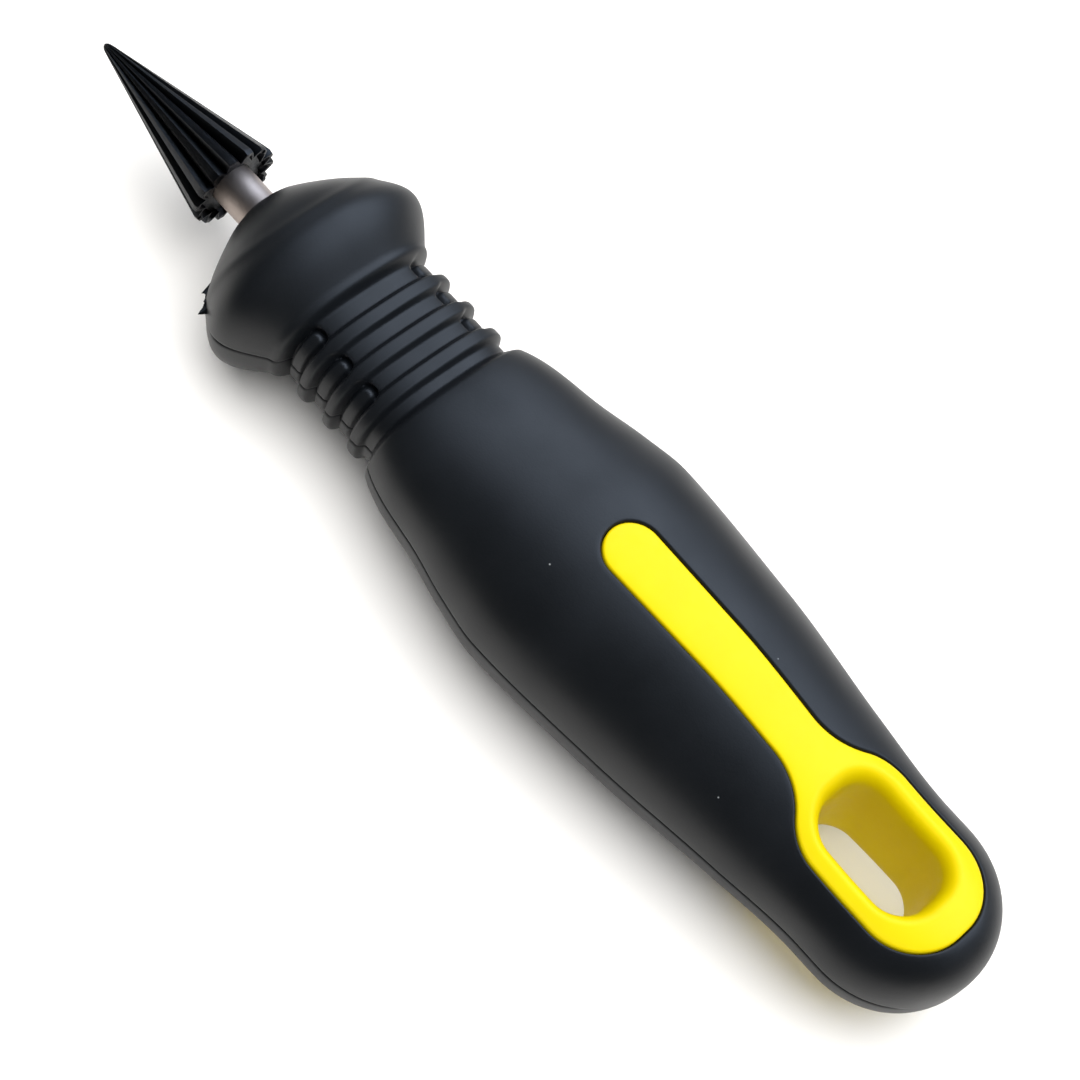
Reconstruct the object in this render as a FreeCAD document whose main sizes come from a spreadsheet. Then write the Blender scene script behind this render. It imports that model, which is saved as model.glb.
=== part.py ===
"""Hand taper reamer with an overmoulded handle, as a parametric FreeCAD document.

Four pieces: a fluted taper cutter, the steel shank that it is pressed on, the hard handle core that
the shank is moulded into, and the soft grip that is moulded round the core.

Frame: millimetres. The tool lies on its belly along X, cutter tip towards -X and hanging slot
towards +X, with the slot's own axis along +Z. The origin is on the table below the middle of the tool.
"""
import FreeCAD, Part
import math
import os
import Sketcher
from FreeCAD import Vector

os.makedirs("parts", exist_ok=True)
doc = FreeCAD.newDocument("taper_reamer")

# ---------------------------------------------------------------------------------------------
# Driving sizes, in millimetres. Every place along the handle is measured from the nose face.
# ---------------------------------------------------------------------------------------------
SIZES = {
    # cutter
    "cutter_length": 21.4,        # tip to back face
    "cutter_diameter": 10.3,      # across the rim, which is the widest circle
    "tip_diameter": 0.9,
    "rim_bevel": 0.6,             # bevel behind the rim
    "flute_count": 14,
    "flute_depth": 0.95,          # at the rim
    "flute_width": 1.5,           # at the rim
    "flute_tip_width": 0.3,       # where the flutes run out
    "flute_overcut": 0.4,         # how far the cutting wedge stands clear of the cone
    "flute_start": 1.2,           # solid tip in front of the flutes
    # shank
    "shank_diameter": 4.7,
    "shank_gap": 3.8,             # bare shank between the cutter and the nose
    "shank_in_cutter": 8.0,
    "shank_in_handle": 38.0,
    "anchor_flat_depth": 0.45,    # two flats that stop the shank turning in the core
    "anchor_flat_length": 9.0,
    "anchor_flat_inset": 9.4,     # from the shank's buried end
    "shank_chamfer": 0.5,
    # handle, whole
    "handle_length": 103.0,
    # stations along the handle: distance from the nose face, width, height and squareness
    # (squareness 2 is an ellipse, and more is boxier)
    "nose_width": 6.4, "nose_height": 6.2, "nose_square": 2.0,
    "brow_x": 0.8, "brow_width": 10.2, "brow_height": 9.6, "brow_square": 2.0,
    "ridge_x": 5.3, "ridge_width": 23.2, "ridge_height": 16.6, "ridge_square": 2.2,
    "guard_x": 8.6, "guard_width": 26.6, "guard_height": 18.8, "guard_square": 2.3,
    "lip_x": 13.6, "lip_width": 20.4, "lip_height": 12.8, "lip_square": 2.6,
    "neck_x": 14.9, "neck_width": 17.8, "neck_height": 10.2, "neck_square": 2.8,
    "shoulder_x": 28.4, "shoulder_width": 20.8, "shoulder_height": 12.2, "shoulder_square": 2.7,
    "swell_x": 38.5, "swell_width": 25.5, "swell_height": 15.7, "swell_square": 2.4,
    "chest_x": 43.5, "chest_width": 27.8, "chest_height": 17.4, "chest_square": 2.3,
    "belly_x": 48.5, "belly_width": 29.2, "belly_height": 18.8, "belly_square": 2.25,
    "loin_x": 64.5, "loin_width": 27.0, "loin_height": 18.8, "loin_square": 2.2,
    "waist_x": 79.0, "waist_width": 23.3, "waist_height": 15.8, "waist_square": 2.2,
    "ring_x": 90.0, "ring_width": 21.0, "ring_height": 13.8, "ring_square": 2.35,
    # ribs round the neck
    "rib_count": 3,
    "rib_first_x": 17.7,
    "rib_pitch": 3.75,
    "rib_length": 2.5,            # along the tool, at the foot of the rib
    "rib_height": 0.8,
    "shoulder_length": 1.1,       # the step from the neck up to the barrel
    # rounded ends
    "tail_round": 10.5,           # length of the rounded tail
    "tail_square": 2.8,           # how full the tail stays, seen from the side
    # hanging slot, with its flared mouths
    "slot_x": 88.4,               # middle of the slot
    "slot_length": 13.2,
    "slot_width": 8.5,
    "slot_corner": 3.6,
    "mouth_depth": 2.2,           # depth of each flare, from the surface of the ring
    "mouth_flare": 1.1,           # how much each mouth is wider, on every side
    # inlay: the part of the core that shows, a strip that ends in a ring round the slot
    "inlay_wall": 2.6,            # width of the ring outside the slot
    "inlay_end_wall": 4.1,        # the same at the tail end, where the ring is wider
    "strip_start_x": 49.6,
    "strip_start_width": 6.2,
    "strip_end_width": 5.2,
    "strip_blend": 8.0,           # radius of the bend from the strip into the ring
    # core, inside the soft skin
    "neck_skin": 1.5,
    "barrel_skin": 2.6,
    "core_start_x": 16.0,
    "core_tail_inset": 4.2,
}

sheet = doc.addObject("Spreadsheet::Sheet", "sizes")
for row, (alias, value) in enumerate(SIZES.items(), start=1):
    sheet.set("A%d" % row, alias)
    sheet.set("B%d" % row, str(value))
    sheet.setAlias("B%d" % row, alias)
doc.recompute()


def size(alias):
    """The value that the sheet holds now."""
    return float(sheet.get(alias))


def s(alias):
    """The name of a sheet value, as an expression writes it."""
    return "sizes." + alias


# ---------------------------------------------------------------------------------------------
# Where the pieces sit. The tool's middle is over the origin and its belly on the table.
# ---------------------------------------------------------------------------------------------
BELLY = "max(%s; %s; %s)" % (s("belly_height"), s("loin_height"), s("guard_height"))
AXIS_Z = "%s / 2" % BELLY
TIP_X = "-(%s + %s + %s) / 2" % (s("cutter_length"), s("shank_gap"), s("handle_length"))
CUTTER_BACK_X = "%s + %s" % (TIP_X, s("cutter_length"))
NOSE_X = "%s + %s" % (CUTTER_BACK_X, s("shank_gap"))


def place(thing, x_expression):
    """Put a body on the tool's axis, with its own origin at x."""
    thing.setExpression("Placement.Base.x", x_expression)
    thing.setExpression("Placement.Base.z", AXIS_Z)


def new_body(name):
    body = doc.addObject("PartDesign::Body", name)
    body.Label = name
    return body


def plane(body, role):
    return next(f for f in body.Origin.OriginFeatures if f.Role == role)


def sketch_on(body, role, name, offset=None):
    """A sketch on one of the body's own planes, moved along the plane's normal by an expression."""
    sketch = body.newObject("Sketcher::SketchObject", name)
    sketch.AttachmentSupport = [(plane(body, role), "")]
    sketch.MapMode = "FlatFace"
    if offset:
        sketch.setExpression("AttachmentOffset.Base.z", offset)
    return sketch


def bind(sketch, constraint, expression, name=None):
    """Add a dimension and tie it to the sheet."""
    index = sketch.addConstraint(constraint)
    if name:
        sketch.renameConstraint(index, name)
    sketch.setExpression("Constraints.%s" % name if name else "Constraints[%d]" % index, expression)


def loft(body, name, sections, cut=False):
    kind = "PartDesign::SubtractiveLoft" if cut else "PartDesign::AdditiveLoft"
    feature = body.newObject(kind, name)
    feature.Profile = sections[0]
    feature.Sections = sections[1:]
    return feature


# ---------------------------------------------------------------------------------------------
# Outline of the handle: its width, height and squareness at any distance from the nose face
# ---------------------------------------------------------------------------------------------
STATIONS = ["nose", "brow", "ridge", "guard", "lip", "neck", "neck_end", "shoulder",
            "swell", "chest", "belly", "loin", "waist", "ring", "tail"]


def station_values(what):
    """The places of the stations, or one of their sizes. The neck keeps one section to its end."""
    same_as = {"neck_end": "neck", "tail": "ring"}
    places = {"nose": 0.0, "tail": size("handle_length"),
              "neck_end": size("shoulder_x") - size("shoulder_length")}
    if what == "x":
        return [places[name] if name in places else size(name + "_x") for name in STATIONS]
    return [size("%s_%s" % (same_as.get(name, name), what)) for name in STATIONS]


def smooth_curve(xs, ys):
    """A curve through the points that never overshoots them (monotone cubic)."""
    steps = [x2 - x1 for x1, x2 in zip(xs, xs[1:])]
    slopes = [(y2 - y1) / step for y1, y2, step in zip(ys, ys[1:], steps)]
    tangents = [slopes[0]]
    for k in range(1, len(slopes)):
        before, after = slopes[k - 1], slopes[k]
        weight_a, weight_b = 2 * steps[k] + steps[k - 1], steps[k] + 2 * steps[k - 1]
        level = before * after <= 0
        tangents.append(0.0 if level else (weight_a + weight_b) / (weight_a / before + weight_b / after))
    tangents.append(0.0)

    def value(x):
        k = max(0, min(len(steps) - 1, sum(1 for place in xs if place <= x) - 1))
        u = (x - xs[k]) / steps[k]
        ends = ys[k] * (1 + 2 * u) * (1 - u) ** 2 + ys[k + 1] * u * u * (3 - 2 * u)
        turns = tangents[k] * u * (1 - u) ** 2 - tangents[k + 1] * u * u * (1 - u)
        return ends + steps[k] * turns
    return value


width_at, height_at, square_at = (smooth_curve(station_values("x"), station_values(what))
                                  for what in ("width", "height", "square"))

POINTS_ACROSS = 13              # points round each half of a section
GUARD_STEP = 0.7                # spacing of the sections on the guard, the neck and the barrel
NECK_STEP = 0.4
BARREL_STEP = 2.5
TAIL_SECTIONS = 9
TAIL_CUT = 0.993                # the tail ends in a tiny flat, not in a point


def rib_rise(x):
    """How far a rib stands above the neck at this place."""
    rise = 0.0
    for index in range(int(size("rib_count"))):
        u = abs(x - size("rib_first_x") - index * size("rib_pitch")) / (size("rib_length") / 2)
        if u < 1:
            rise = size("rib_height") * math.cos(u * math.pi / 2)
    return rise


def tail_factors(x):
    """How much of its width and height the handle keeps in its rounded tail."""
    t = TAIL_CUT * max(0.0, (x - size("handle_length")) / size("tail_round") + 1)
    full = size("tail_square")
    return math.sqrt(1 - t ** 2), (1 - t ** full) ** (1 / full)


def half_section(x, skin, ribs, first_turn):
    """Points round the upper or lower half of the cross-section at x, drawn in by a skin's thickness."""
    keep_width, keep_height = tail_factors(x)
    rise = rib_rise(x) if ribs else 0.0
    half_width = width_at(x) / 2 * keep_width + rise - skin
    half_height = height_at(x) / 2 * keep_height + rise - skin
    square = square_at(x)
    points = []
    for k in range(POINTS_ACROSS):
        turn = first_turn + math.pi * k / (POINTS_ACROSS - 1)
        c, d = math.cos(turn), math.sin(turn)
        bulge = (abs(c) ** square + abs(d) ** square) ** (-1 / square)
        points.append(Vector(x, half_width * bulge * c, half_height * bulge * d))
    return points


def skinned(places, skin_at=lambda x: 0.0, ribs=True):
    """A solid through the sections at these places: two smooth halves that meet at the sides."""
    halves = []
    for first_turn in (0, math.pi):
        surface = Part.BSplineSurface()
        surface.interpolate([half_section(x, skin_at(x), ribs, first_turn) for x in places])
        halves.append(surface.toShape())
    ends = []
    for x in (places[0], places[-1]):
        rim = [edge for half in halves for edge in half.Edges
               if all(abs(vertex.Point.x - x) < 1e-6 for vertex in edge.Vertexes)]
        ends.append(Part.Face(Part.Wire(Part.__sortEdges__(rim))))
    shell = Part.Shell(halves + ends)
    shell.sewShape()
    solid = Part.Solid(shell)
    if solid.Volume < 0:
        solid.reverse()
    return solid


def evenly(start, end, step):
    count = max(1, round((end - start) / step))
    return [start + (end - start) * k / count for k in range(count)]


def handle_places():
    """Where the sections of the handle lie, closest together where its shape turns fastest."""
    neck, shoulder = size("lip_x") - GUARD_STEP, size("shoulder_x") + NECK_STEP
    tail = size("handle_length") - size("tail_round")
    places = evenly(0, neck, GUARD_STEP) + evenly(neck, shoulder, NECK_STEP)
    places += evenly(shoulder, tail, BARREL_STEP)
    for k in range(TAIL_SECTIONS + 1):
        turn = k / TAIL_SECTIONS * math.asin(TAIL_CUT)
        places.append(tail + size("tail_round") * math.sin(turn) / TAIL_CUT)
    return places


def shaped(name, shape):
    """A document object that holds a free-form shape, on the tool's axis with its own origin at the nose."""
    feature = doc.addObject("Part::Feature", name)
    feature.Label = name
    feature.Shape = shape
    place(feature, NOSE_X)
    return feature


# ---------------------------------------------------------------------------------------------
# Handle form: the outside of the whole handle, before it is shared between core and grip.
# A loft through a few sketches bulges between them, so it is skinned through many sections.
# ---------------------------------------------------------------------------------------------
def make_handle_form():
    return shaped("handle_form", skinned(handle_places()))


# ---------------------------------------------------------------------------------------------
# Shank: a plain rod with two flats near its buried end
# ---------------------------------------------------------------------------------------------
def make_shank():
    body = new_body("shank")
    profile = sketch_on(body, "YZ_Plane", "shank_circle")
    profile.addGeometry(Part.Circle(Vector(0, 0, 0), Vector(0, 0, 1), 2))
    profile.addConstraint(Sketcher.Constraint("Coincident", 0, 3, -1, 1))
    bind(profile, Sketcher.Constraint("Diameter", 0, 4), s("shank_diameter"))
    rod = body.newObject("PartDesign::Pad", "rod")
    rod.Profile = profile
    rod_length = "%s + %s + %s" % (s("shank_in_cutter"), s("shank_gap"), s("shank_in_handle"))
    rod.setExpression("Length", rod_length)
    doc.recompute()

    chamfer = body.newObject("PartDesign::Chamfer", "rod_ends")
    rims = ["Edge%d" % (k + 1) for k, edge in enumerate(rod.Shape.Edges)
            if edge.Curve.TypeId == "Part::GeomCircle"]
    chamfer.Base = (rod, rims)
    chamfer.setExpression("Size", s("shank_chamfer"))
    doc.recompute()

    # the flats are cut from both sides, along the rod, between two places near its buried end
    flats = sketch_on(body, "XZ_Plane", "flat_profiles")
    flat_end = "%s - %s" % (rod_length, s("anchor_flat_inset"))
    for sign in (1, -1):
        first = flats.GeometryCount
        corners = [Vector(x, sign * y, 0) for x, y in ((30, 2), (40, 2), (40, 3), (30, 3))]
        for k in range(4):
            flats.addGeometry(Part.LineSegment(corners[k], corners[(k + 1) % 4]))
        for k in range(4):
            flats.addConstraint(Sketcher.Constraint("Coincident", first + k, 2, first + (k + 1) % 4, 1))
            flats.addConstraint(Sketcher.Constraint("Horizontal" if k % 2 == 0 else "Vertical", first + k))
        root = "%s / 2 - %s" % (s("shank_diameter"), s("anchor_flat_depth"))
        ends = (-1, 1, first, 1) if sign > 0 else (first, 1, -1, 1)
        bind(flats, Sketcher.Constraint("DistanceY", *ends, 2), root)
        bind(flats, Sketcher.Constraint("DistanceX", -1, 1, first, 2, 40), flat_end)
        bind(flats, Sketcher.Constraint("DistanceX", first, 1, first, 2, 10), s("anchor_flat_length"))
        upright = (first + 1, 1, first + 1, 2) if sign > 0 else (first + 1, 2, first + 1, 1)
        bind(flats, Sketcher.Constraint("DistanceY", *upright, 1), s("shank_diameter"))
    pocket = body.newObject("PartDesign::Pocket", "anchor_flats")
    pocket.Profile = flats
    pocket.Type = "ThroughAll"
    pocket.Midplane = True
    place(body, "%s - %s" % (CUTTER_BACK_X, s("shank_in_cutter")))
    return body


# ---------------------------------------------------------------------------------------------
# Cutter: a turned cone with a bevelled rim, a blind bore for the shank, and straight flutes
# ---------------------------------------------------------------------------------------------
def make_cutter():
    body = new_body("cutter_cone")
    outline = sketch_on(body, "XZ_Plane", "cutter_outline")
    points = [(0, 0), (0, 0.4), (19, 5), (20, 4.5), (20, 2), (12, 2), (12, 0)]
    for k, (x, radius) in enumerate(points):
        x_next, radius_next = points[(k + 1) % len(points)]
        outline.addGeometry(Part.LineSegment(Vector(x, radius, 0), Vector(x_next, radius_next, 0)))
    for k in range(len(points)):
        outline.addConstraint(Sketcher.Constraint("Coincident", k, 2, (k + 1) % len(points), 1))
    for k in (0, 3, 5):
        outline.addConstraint(Sketcher.Constraint("Vertical", k))
    for k in (4, 6):
        outline.addConstraint(Sketcher.Constraint("Horizontal", k))
    outline.addConstraint(Sketcher.Constraint("Coincident", 0, 1, -1, 1))
    rim_x = "%s - %s" % (s("cutter_length"), s("rim_bevel"))
    bore_end = "%s - %s" % (s("cutter_length"), s("shank_in_cutter"))
    bind(outline, Sketcher.Constraint("DistanceY", -1, 1, 0, 2, 0.4), s("tip_diameter") + " / 2")
    bind(outline, Sketcher.Constraint("DistanceX", -1, 1, 1, 2, 19), rim_x)
    bind(outline, Sketcher.Constraint("DistanceY", -1, 1, 1, 2, 5), s("cutter_diameter") + " / 2")
    bind(outline, Sketcher.Constraint("DistanceX", -1, 1, 2, 2, 20), s("cutter_length"))
    bevel_radius = "%s / 2 - %s" % (s("cutter_diameter"), s("rim_bevel"))
    bind(outline, Sketcher.Constraint("DistanceY", -1, 1, 2, 2, 4.5), bevel_radius)
    bind(outline, Sketcher.Constraint("DistanceY", -1, 1, 3, 2, 2), s("shank_diameter") + " / 2")
    bind(outline, Sketcher.Constraint("DistanceX", -1, 1, 5, 1, 12), bore_end)
    cone = body.newObject("PartDesign::Revolution", "cone")
    cone.Profile = outline
    cone.ReferenceAxis = (plane(body, "X_Axis"), [""])
    doc.recompute()

    # one flute: a V-shaped groove that is deep at the rim and runs out near the tip
    tip_root = s("tip_diameter") + " / 2"
    rim_root = "%s / 2 - %s" % (s("cutter_diameter"), s("flute_depth"))
    start = groove(body, "flute_at_tip", s("flute_start"), tip_root, s("flute_tip_width"))
    end = groove(body, "flute_at_rim", s("cutter_length"), rim_root, s("flute_width"))
    flute = loft(body, "flute", [start, end], cut=True)
    doc.recompute()

    flutes = body.newObject("PartDesign::PolarPattern", "flutes")
    flutes.Originals = [flute]
    flutes.Axis = (plane(body, "X_Axis"), [""])
    flutes.Angle = 360
    flutes.setExpression("Occurrences", s("flute_count"))
    body.Tip = flutes
    place(body, TIP_X)
    return body


def groove(body, name, x, root, width):
    """A triangle across the tool with its point down at the root radius, open above the cone."""
    sketch = sketch_on(body, "YZ_Plane", name, x)
    corners = [Vector(0, 4, 0), Vector(1, 6, 0), Vector(-1, 6, 0)]
    for k in range(3):
        sketch.addGeometry(Part.LineSegment(corners[k], corners[(k + 1) % 3]))
    for k in range(3):
        sketch.addConstraint(Sketcher.Constraint("Coincident", k, 2, (k + 1) % 3, 1))
    sketch.addConstraint(Sketcher.Constraint("Symmetric", 1, 1, 1, 2, -2))
    sketch.addConstraint(Sketcher.Constraint("PointOnObject", 0, 1, -2))
    bind(sketch, Sketcher.Constraint("DistanceY", -1, 1, 0, 1, 4), root)
    height = "%s + %s" % (s("flute_depth"), s("flute_overcut"))
    bind(sketch, Sketcher.Constraint("DistanceY", 0, 1, 0, 2, 2), height)
    bind(sketch, Sketcher.Constraint("DistanceX", 1, 2, 1, 1, 2), width)
    return sketch


# ---------------------------------------------------------------------------------------------
# Hanging slot: straight through the ring, with a flared mouth on each face
# ---------------------------------------------------------------------------------------------
def rounded_rectangle(body, name, z, middle, length, width, corner):
    """A rounded rectangle on the tool's axis, seen from above, with its middle at a place along X."""
    sketch = sketch_on(body, "XY_Plane", name, z)
    centre, radius = sketch.evalExpression(middle), sketch.evalExpression(corner)
    x = sketch.evalExpression(length) / 2 - radius
    y = sketch.evalExpression(width) / 2 - radius
    for quarter, (side_x, side_y) in enumerate(((1, 1), (-1, 1), (-1, -1), (1, -1))):
        circle = Part.Circle(Vector(centre + side_x * x, side_y * y, 0), Vector(0, 0, 1), radius)
        sketch.addGeometry(Part.ArcOfCircle(circle, quarter * math.pi / 2, (quarter + 1) * math.pi / 2))
    for k in range(4):
        first, second = sketch.Geometry[k].EndPoint, sketch.Geometry[(k + 1) % 4].StartPoint
        sketch.addGeometry(Part.LineSegment(first, second))
    for k in range(4):
        sketch.addConstraint(Sketcher.Constraint("Tangent", k, 2, 4 + k, 1))
        sketch.addConstraint(Sketcher.Constraint("Tangent", 4 + k, 2, (k + 1) % 4, 1))
    sketch.addConstraint(Sketcher.Constraint("Horizontal", 4))
    sketch.addConstraint(Sketcher.Constraint("Vertical", 5))
    for k in (1, 2, 3):
        sketch.addConstraint(Sketcher.Constraint("Equal", 0, k))
    sketch.addConstraint(Sketcher.Constraint("Symmetric", 0, 3, 3, 3, -1))
    bind(sketch, Sketcher.Constraint("Radius", 0, radius), corner)
    bind(sketch, Sketcher.Constraint("DistanceY", 3, 3, 0, 3, 2 * y), "%s - 2 * (%s)" % (width, corner))
    bind(sketch, Sketcher.Constraint("DistanceX", 1, 3, 0, 3, 2 * x), "%s - 2 * (%s)" % (length, corner))
    far_corner = "%s + (%s) / 2 - (%s)" % (middle, length, corner)
    bind(sketch, Sketcher.Constraint("DistanceX", -1, 1, 0, 3, centre + x), far_corner)
    return sketch


def make_slot_cutter():
    body = new_body("slot_cutter")
    middle, length, width, corner = s("slot_x"), s("slot_length"), s("slot_width"), s("slot_corner")
    straight = body.newObject("PartDesign::Pad", "slot_pad")
    straight.Profile = rounded_rectangle(body, "slot_outline", None, middle, length, width, corner)
    straight.Midplane = True
    straight.setExpression("Length", "2 * " + s("ring_height"))
    grown = ["%s + 2 * %s" % (length, s("mouth_flare")), "%s + 2 * %s" % (width, s("mouth_flare")),
             "%s + %s" % (corner, s("mouth_flare"))]
    for face, sign in (("top", ""), ("bottom", "-")):
        throat_z = "%s(%s / 2 - %s)" % (sign, s("ring_height"), s("mouth_depth"))
        mouth_z = "%s(%s / 2)" % (sign, s("ring_height"))
        throat = rounded_rectangle(body, face + "_throat", throat_z, middle, length, width, corner)
        mouth = rounded_rectangle(body, face + "_mouth", mouth_z, middle, *grown)
        loft(body, face + "_flare", [throat, mouth])
        clear = body.newObject("PartDesign::Pad", face + "_clearance")
        clear.Profile = rounded_rectangle(body, face + "_clearance_outline", mouth_z, middle, *grown)
        clear.setExpression("Length", s("mouth_depth"))
        clear.Reversed = bool(sign)
    place(body, NOSE_X)
    return body


# ---------------------------------------------------------------------------------------------
# Inlay outline: seen from above, the strip and the ring that the core shows through the grip
# ---------------------------------------------------------------------------------------------
def make_inlay_outline():
    body = new_body("inlay_outline")
    tall = "2 * %s" % BELLY
    wall, end_wall = s("inlay_wall"), s("inlay_end_wall")
    ring = body.newObject("PartDesign::Pad", "ring_pad")
    ring.Profile = rounded_rectangle(body, "ring_outline", None,
                                     "%s + (%s - %s) / 2" % (s("slot_x"), end_wall, wall),
                                     "%s + %s + %s" % (s("slot_length"), wall, end_wall),
                                     "%s + 2 * %s" % (s("slot_width"), wall),
                                     "%s + %s" % (s("slot_corner"), wall))
    ring.Midplane = True
    ring.setExpression("Length", tall)

    # the strip tapers from its round start to where it enters the ring
    sketch = sketch_on(body, "XY_Plane", "strip_outline")
    arc = Part.ArcOfCircle(Part.Circle(Vector(50, 0, 0), Vector(0, 0, 1), 3), math.pi / 2, 3 * math.pi / 2)
    sketch.addGeometry(arc)
    points = [Vector(50, -3, 0), Vector(80, -2.5, 0), Vector(80, 2.5, 0), Vector(50, 3, 0)]
    for first, second in zip(points, points[1:]):
        sketch.addGeometry(Part.LineSegment(first, second))
    for k in range(4):
        sketch.addConstraint(Sketcher.Constraint("Coincident", k, 2, (k + 1) % 4, 1))
    sketch.addConstraint(Sketcher.Constraint("Symmetric", 0, 1, 0, 2, -1))
    sketch.addConstraint(Sketcher.Constraint("Symmetric", 2, 1, 2, 2, -1))
    sketch.addConstraint(Sketcher.Constraint("Vertical", 0, 3, 0, 1))
    half_start = s("strip_start_width") + " / 2"
    round_centre = "%s + %s" % (s("strip_start_x"), half_start)
    bind(sketch, Sketcher.Constraint("Radius", 0, 3), half_start)
    bind(sketch, Sketcher.Constraint("DistanceX", -1, 1, 0, 3, 50), round_centre)
    bind(sketch, Sketcher.Constraint("DistanceY", 2, 1, 2, 2, 5), s("strip_end_width"))
    ring_start = "%s - %s / 2 - %s" % (s("slot_x"), s("slot_length"), wall)
    strip_end = "%s + %s" % (ring_start, s("slot_corner"))
    bind(sketch, Sketcher.Constraint("DistanceX", -1, 1, 1, 2, 80), strip_end)
    strip = body.newObject("PartDesign::Pad", "strip_pad")
    strip.Profile = sketch
    strip.Midplane = True
    strip.setExpression("Length", tall)
    doc.recompute()

    # round the two inner corners where the strip runs into the ring
    corner_x = size("slot_x") - size("slot_length") / 2 - size("inlay_wall")
    corner_y = size("strip_end_width") / 2
    uprights = [(abs(e.CenterOfMass.x - corner_x) + abs(abs(e.CenterOfMass.y) - corner_y), "Edge%d" % (k + 1))
                for k, e in enumerate(strip.Shape.Edges)
                if e.Curve.TypeId == "Part::GeomLine" and abs(e.Curve.Direction.z) > 0.99]
    blend = body.newObject("PartDesign::Fillet", "strip_blend")
    blend.Base = (strip, [name for _, name in sorted(uprights)[:2]])
    blend.setExpression("Radius", s("strip_blend"))
    place(body, NOSE_X)
    return body


# ---------------------------------------------------------------------------------------------
# Core and grip. The grip is moulded onto the core, and the core onto the shank, so each pair
# shares one surface: the same solids cut one piece and fill the other.
# ---------------------------------------------------------------------------------------------
def make_core_inside():
    """The part of the core that the soft skin covers: the handle form, drawn in, without its ribs."""
    start, end = size("core_start_x"), size("handle_length") - size("core_tail_inset")
    thin, thick = size("neck_skin"), size("barrel_skin")
    skin_at = smooth_curve([start, size("shoulder_x"), size("belly_x"), end], [thin, thin, thick, thick])
    places = evenly(start, end, BARREL_STEP) + [end]
    return shaped("core_inside", skinned(places, skin_at, False))


def boolean(kind, name, base, tool):
    result = doc.addObject("Part::" + kind, name)
    result.Label = name
    result.Base = base
    result.Tool = tool
    return result


cutter_cone = make_cutter()
shank = make_shank()
handle_form = make_handle_form()
slot_cutter = make_slot_cutter()
inlay_outline = make_inlay_outline()
core_inside = make_core_inside()

inlay = boolean("Common", "inlay", handle_form, inlay_outline)
core_solid = boolean("Fuse", "core_solid", core_inside, inlay)
core_with_slot = boolean("Cut", "core_with_slot", core_solid, slot_cutter)
handle_core = boolean("Cut", "handle_core", core_with_slot, shank)
form_without_core = boolean("Cut", "form_without_core", handle_form, core_solid)
soft_grip = boolean("Cut", "soft_grip", form_without_core, shank)

# ---------------------------------------------------------------------------------------------
# Checks, then one STEP file for each piece
# ---------------------------------------------------------------------------------------------
doc.recompute()
failed = [o.Name for o in doc.Objects if "Invalid" in o.State or "Error" in o.State]
assert not failed, "failed objects: %s" % failed

bare_cone = doc.getObject("cone").Shape.Volume
assert cutter_cone.Shape.Volume < 0.97 * bare_cone, "the flutes cut nothing"
assert shank.Shape.Volume < doc.getObject("rod_ends").Shape.Volume, "the flats cut nothing"

for piece in (cutter_cone, shank, handle_core, soft_grip):
    shape = piece.Shape
    assert not shape.isNull() and shape.isValid(), "%s is not a valid shape" % piece.Label
    assert len(shape.Solids) == 1, "%s has %d solids" % (piece.Label, len(shape.Solids))
    shape.exportStep("parts/%s.step" % piece.Label)
    box = shape.BoundBox
    print("%-12s %8.1f mm3   x %6.1f..%6.1f   y %6.1f..%6.1f   z %5.1f..%5.1f" % (
        piece.Label, shape.Volume, box.XMin, box.XMax, box.YMin, box.YMax, box.ZMin, box.ZMax))
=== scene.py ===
# %% [markdown]
# # A hand taper reamer with a soft-grip handle
# The tool is a fluted steel cone on a short rod, held in a handle of two plastics: a hard yellow core that
# shows as a strip and a ring, and a soft black skin moulded round it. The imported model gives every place
# and size. This lesson gives each piece the shape and the finish that a maker would see up close.

# %% Load the frame
import math

import bmesh
import bpy
import numpy as np
from mathutils import Matrix, Vector
from mathutils.geometry import delaunay_2d_cdt


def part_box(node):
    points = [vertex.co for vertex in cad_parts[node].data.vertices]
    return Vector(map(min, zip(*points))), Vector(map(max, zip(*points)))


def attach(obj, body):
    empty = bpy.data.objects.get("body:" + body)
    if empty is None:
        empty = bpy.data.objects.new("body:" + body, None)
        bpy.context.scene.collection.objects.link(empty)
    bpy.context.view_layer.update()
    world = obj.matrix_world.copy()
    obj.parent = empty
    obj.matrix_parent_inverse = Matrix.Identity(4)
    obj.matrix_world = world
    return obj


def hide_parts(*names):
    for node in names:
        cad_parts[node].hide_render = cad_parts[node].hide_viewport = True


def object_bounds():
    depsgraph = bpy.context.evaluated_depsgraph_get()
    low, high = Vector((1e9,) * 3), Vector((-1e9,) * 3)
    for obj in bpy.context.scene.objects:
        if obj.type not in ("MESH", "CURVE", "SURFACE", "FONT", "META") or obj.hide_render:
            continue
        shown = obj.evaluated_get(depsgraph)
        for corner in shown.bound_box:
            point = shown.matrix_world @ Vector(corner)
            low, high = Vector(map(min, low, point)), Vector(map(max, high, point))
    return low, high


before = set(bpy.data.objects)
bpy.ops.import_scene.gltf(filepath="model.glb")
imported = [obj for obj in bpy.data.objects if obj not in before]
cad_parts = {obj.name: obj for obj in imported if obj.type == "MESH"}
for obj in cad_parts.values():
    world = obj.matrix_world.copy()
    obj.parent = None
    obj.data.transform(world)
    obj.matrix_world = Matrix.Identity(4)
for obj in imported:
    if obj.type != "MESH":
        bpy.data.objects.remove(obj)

cad_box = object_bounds()
print("CAD nodes:", sorted(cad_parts))

# %% [markdown]
# ## Working units
# The frame is in metres, and a handle is easier to think about in millimetres. So shapes are worked out in
# millimetres along the tool, with zero at the nose of the handle and on its axis, and one helper moves the
# finished points into the frame.

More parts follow.
